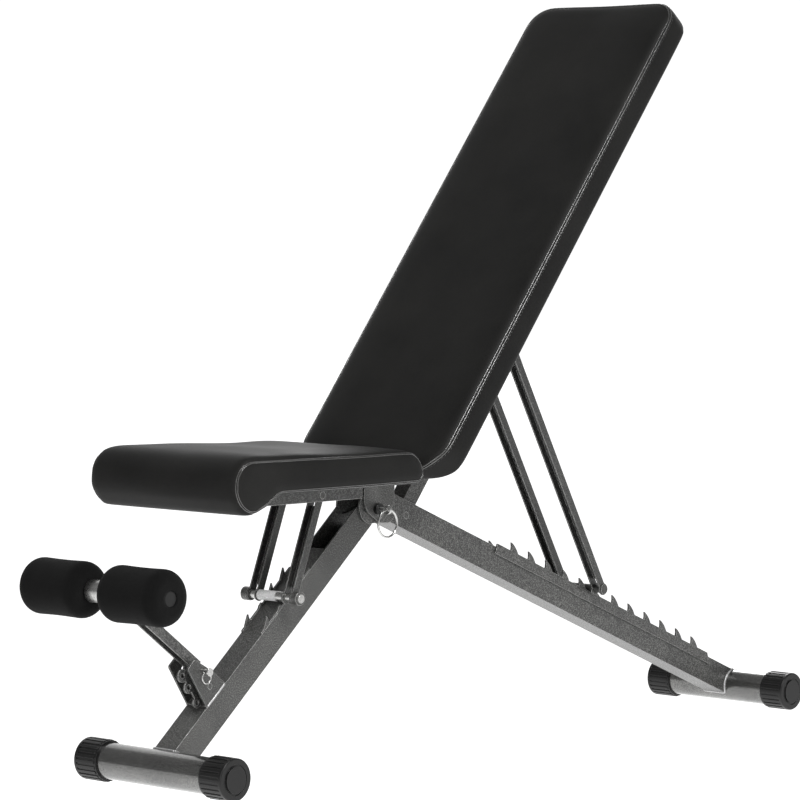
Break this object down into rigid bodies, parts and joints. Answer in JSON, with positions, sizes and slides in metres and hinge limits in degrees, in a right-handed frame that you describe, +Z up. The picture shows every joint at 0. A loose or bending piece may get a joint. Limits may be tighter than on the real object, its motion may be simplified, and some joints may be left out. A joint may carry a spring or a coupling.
{
  "type": "adjustable weight bench",
  "caption": "Folding incline bench with a notched backrest strut, tilting seat and foam leg hold.",
  "frame": {"origin": "on the floor, midway along and across the bench", "axes": "+X towards the head end and rear foot, +Z up, the leg hold is at -X and the sides are +-Y"},
  "size_m": [1.4184, 0.286, 1.0913],
  "materials": {
    "frame_grey": "hammertone satin",
    "black_plastic": "satin",
    "zinc_steel": "bright zinc",
    "pale_sleeve": "satin",
    "black_vinyl": "fine grain sheen",
    "board": "plywood, black stained",
    "black_foam": "matte"
  },
  "bodies": {
    "rear_frame": {"rear_beam": "frame_grey", "rear_foot_tube": "frame_grey", "rear_foot_cap_near": "black_plastic", "rear_foot_cap_far": "black_plastic", "back_ladder_near": "frame_grey", "back_ladder_far": "frame_grey", "hinge_cheek_near": "frame_grey", "hinge_cheek_far": "frame_grey", "fold_hinge_pin": "zinc_steel", "back_hinge_pin": "frame_grey"},
    "front_leg": {"front_post": "frame_grey", "front_foot_tube": "frame_grey", "front_foot_cap_near": "black_plastic", "front_foot_cap_far": "black_plastic", "seat_hook_near": "frame_grey", "seat_hook_far": "frame_grey", "leg_hold_bracket": "frame_grey", "arm_pivot_bolt": "zinc_steel"},
    "backrest": {"back_rail": "frame_grey", "back_rail_plug": "black_plastic", "back_lift_tube": "frame_grey", "back_pad_bracket_lower": "frame_grey", "back_pad_bracket_upper": "frame_grey", "back_board": "board", "back_cushion": "black_vinyl"},
    "back_strut": {"back_strut_near": "frame_grey", "back_strut_far": "frame_grey", "back_strut_bolt": "zinc_steel", "back_catch_bar": "zinc_steel"},
    "seat": {"seat_hinge_saddle": "frame_grey", "seat_rail": "frame_grey", "seat_rail_plug_front": "black_plastic", "seat_rail_plug_rear": "black_plastic", "seat_lift_tube": "frame_grey", "seat_tray": "frame_grey", "seat_board": "board", "seat_cushion": "black_vinyl", "ring_pin_collar": "black_plastic"},
    "seat_strut": {"seat_strut_near": "frame_grey", "seat_strut_far": "frame_grey", "seat_strut_bolt": "zinc_steel", "seat_catch_bar": "zinc_steel", "seat_catch_collar_near": "frame_grey", "seat_catch_collar_far": "frame_grey"},
    "catch_sleeve": {"seat_catch_sleeve": "pale_sleeve"},
    "ring_pin": {"ring_pin": "zinc_steel"},
    "pull_ring": {"pull_ring": "zinc_steel"},
    "leg_hold_arm": {"leg_hold_arm": "frame_grey", "roller_sleeve": "zinc_steel", "arm_spacer_near": "zinc_steel", "arm_spacer_far": "zinc_steel", "roller_axle": "zinc_steel", "axle_plug_near": "black_plastic", "axle_plug_far": "black_plastic"},
    "roller_near": {"foam_roller_near": "black_foam"},
    "roller_far": {"foam_roller_far": "black_foam"},
    "leg_hold_pin": {"leg_hold_pin": "zinc_steel"},
    "pin_loop": {"leg_hold_pin_loop": "zinc_steel"}
  },
  "joints": [
    {"name": "leg_fold", "type": "hinge", "parent": "rear_frame", "child": "front_leg", "pos_m": [-0.1598, 0, 0.349], "axis": [0, 1, 0], "range_deg": [-100, 0]},
    {"name": "back_tilt", "type": "hinge", "parent": "rear_frame", "child": "backrest", "pos_m": [-0.0986, 0, 0.34408], "axis": [0, -1, 0], "range_deg": [-65, 0]},
    {"name": "back_strut", "type": "hinge", "parent": "backrest", "child": "back_strut", "pos_m": [0.09787, 0, 0.59107], "axis": [0, -1, 0], "range_deg": [0, 111]},
    {"name": "seat_tilt", "type": "hinge", "parent": "front_leg", "child": "seat", "pos_m": [-0.1598, 0, 0.349], "axis": [0, 1, 0], "range_deg": [-28, 0]},
    {"name": "seat_strut", "type": "hinge", "parent": "seat", "child": "seat_strut", "pos_m": [-0.2982, 0, 0.3845], "axis": [0, 1, 0], "range_deg": [0, 62]},
    {"name": "catch_sleeve_spin", "type": "hinge", "parent": "seat_strut", "child": "catch_sleeve", "pos_m": [-0.35037, 0, 0.24582], "axis": [0, 1, 0], "continuous": true},
    {"name": "ring_pin_slide", "type": "slide", "parent": "seat", "child": "ring_pin", "axis": [0, 1, 0], "range_m": [-0.01, 0.003]},
    {"name": "ring_swing", "type": "hinge", "parent": "ring_pin", "child": "pull_ring", "pos_m": [-0.1668, -0.0464, 0.3575], "axis": [1, 0, 0], "range_deg": [-60, 15]},
    {"name": "leg_arm", "type": "hinge", "parent": "front_leg", "child": "leg_hold_arm", "pos_m": [-0.49039, 0, 0.13498], "axis": [0, 1, 0], "range_deg": [0, 30]},
    {"name": "roller_near_spin", "type": "hinge", "parent": "leg_hold_arm", "child": "roller_near", "pos_m": [-0.6712, 0, 0.275], "axis": [0, 1, 0], "continuous": true},
    {"name": "roller_far_spin", "type": "hinge", "parent": "leg_hold_arm", "child": "roller_far", "pos_m": [-0.6712, 0, 0.275], "axis": [0, 1, 0], "continuous": true},
    {"name": "leg_hold_pin_slide", "type": "slide", "parent": "front_leg", "child": "leg_hold_pin", "axis": [0, -1, 0], "range_m": [-0.006, 0.012]},
    {"name": "pin_loop_swing", "type": "hinge", "parent": "leg_hold_pin", "child": "pin_loop", "pos_m": [-0.50575, -0.0285, 0.157], "axis": [1, 0, 0], "range_deg": [-70, 7]}
  ],
  "couplings": [
    {"joint": "back_strut", "follows": "back_tilt", "ratio": -1.7},
    {"joint": "seat_strut", "follows": "seat_tilt", "ratio": -2.2}
  ]
}
